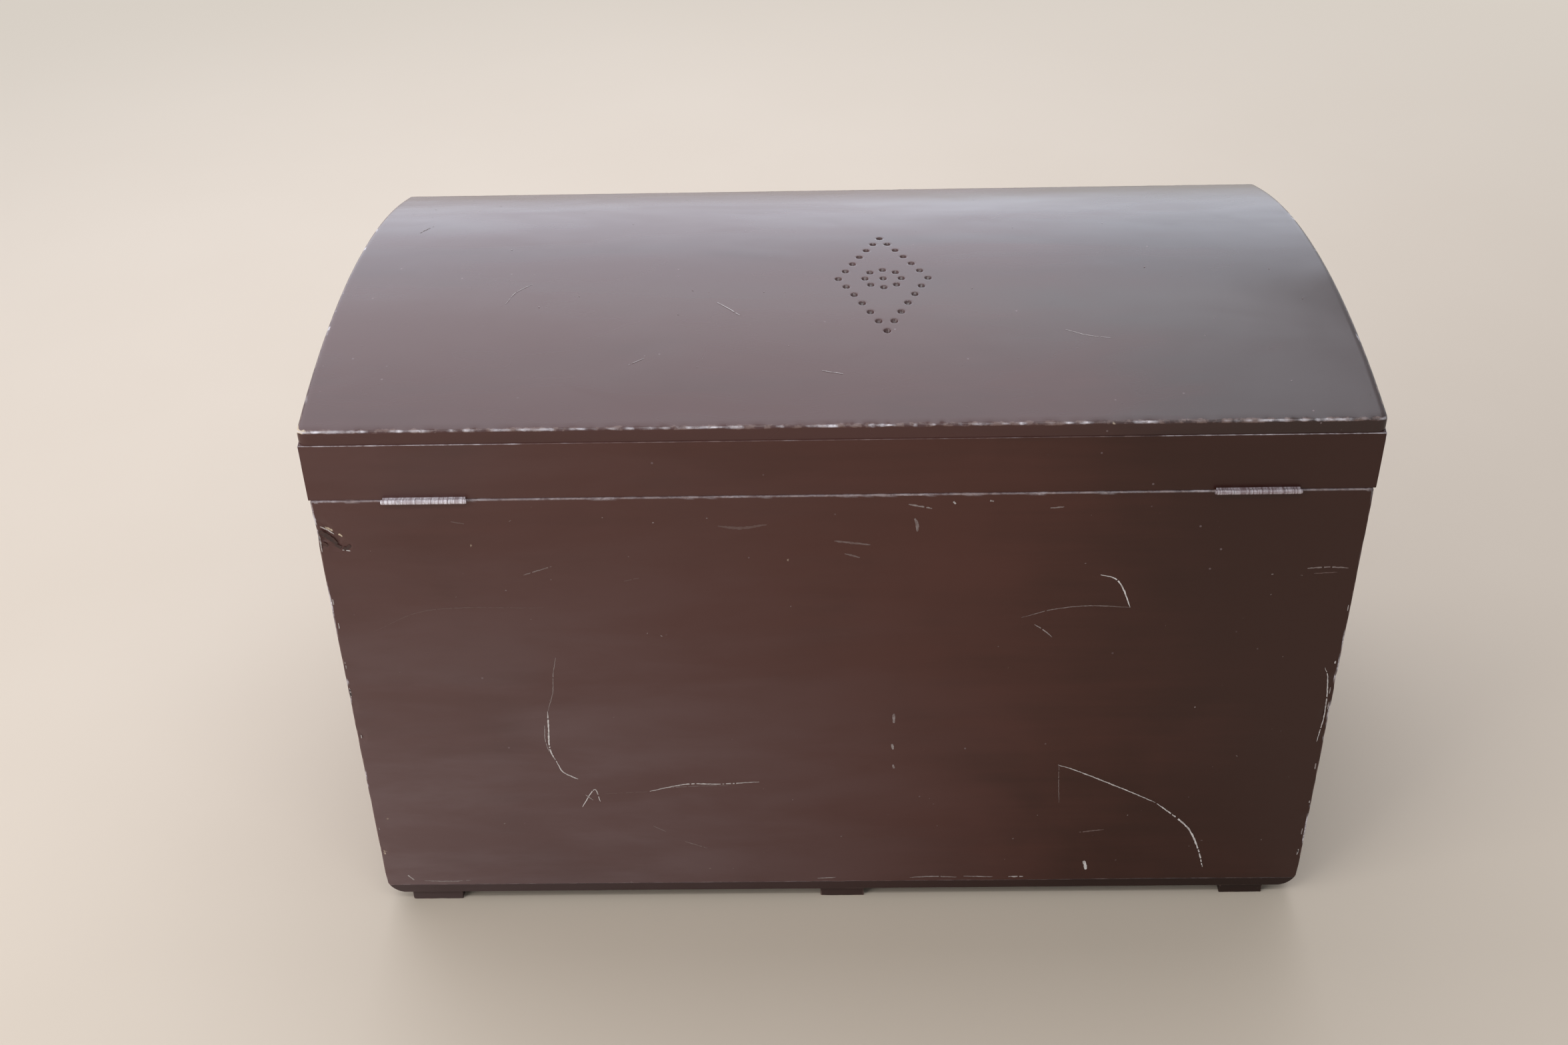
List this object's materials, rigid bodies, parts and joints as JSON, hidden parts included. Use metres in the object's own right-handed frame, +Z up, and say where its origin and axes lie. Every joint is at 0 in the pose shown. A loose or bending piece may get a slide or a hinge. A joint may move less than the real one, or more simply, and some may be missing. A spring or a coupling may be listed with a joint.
{
  "type": "dome top wooden chest",
  "caption": "Floor-standing wooden storage chest with a low domed lid on back hinges, a drilled dot pattern in the lid and a sliding stay inside.",
  "frame": {"origin": "on the floor, under the middle of the outline", "axes": "+X along the width to the right seen from the front, +Y towards the hinges at the back, +Z up"},
  "size_m": [0.815, 0.4602, 0.522],
  "materials": {
    "painted_wood": "old reddish brown gloss paint, worn",
    "top_paint": "same brown paint, glossier, scuffed",
    "bare_wood": "unpainted softwood",
    "painted_steel": "steel painted over with the wood",
    "steel": "dull bare steel"
  },
  "bodies": {
    "chest": {"back_panel": "painted_wood", "front_panel": "painted_wood", "end_left": "painted_wood", "end_right": "painted_wood", "bottom_board": "painted_wood", "runner_left": "bare_wood", "runner_centre": "bare_wood", "runner_right": "bare_wood", "corner_cleat_front_left": "bare_wood", "corner_cleat_front_right": "bare_wood", "corner_cleat_back_left": "bare_wood", "corner_cleat_back_right": "bare_wood", "hinge_left_body_leaf": "painted_steel", "hinge_right_body_leaf": "painted_steel", "hinge_left_pin": "painted_steel", "hinge_right_pin": "painted_steel", "hinge_body_screws": "steel", "stay_body_stud": "steel"},
    "lid": {"top_sheet": "top_paint", "lid_back_rail": "painted_wood", "lid_front_rail": "painted_wood", "lid_end_left": "painted_wood", "lid_end_right": "painted_wood", "lid_rib": "bare_wood", "hinge_left_lid_leaf": "painted_steel", "hinge_right_lid_leaf": "painted_steel", "hinge_lid_screws": "steel", "stay_lid_stud": "steel"},
    "stay": {"stay_bar": "steel"}
  },
  "joints": [
    {"name": "lid_hinge", "type": "hinge", "parent": "chest", "child": "lid", "pos_m": [0, 0.22815, 0.43], "axis": [-1, 0, 0], "range_deg": [0, 100]},
    {"name": "stay_pivot", "type": "hinge", "parent": "lid", "child": "stay", "pos_m": [0.3875, 0.08043, 0.45605], "axis": [-1, 0, 0], "range_deg": [-50, 0]}
  ],
  "couplings": [
    {"joint": "stay_pivot", "follows": "lid_hinge", "ratio": -0.5}
  ]
}
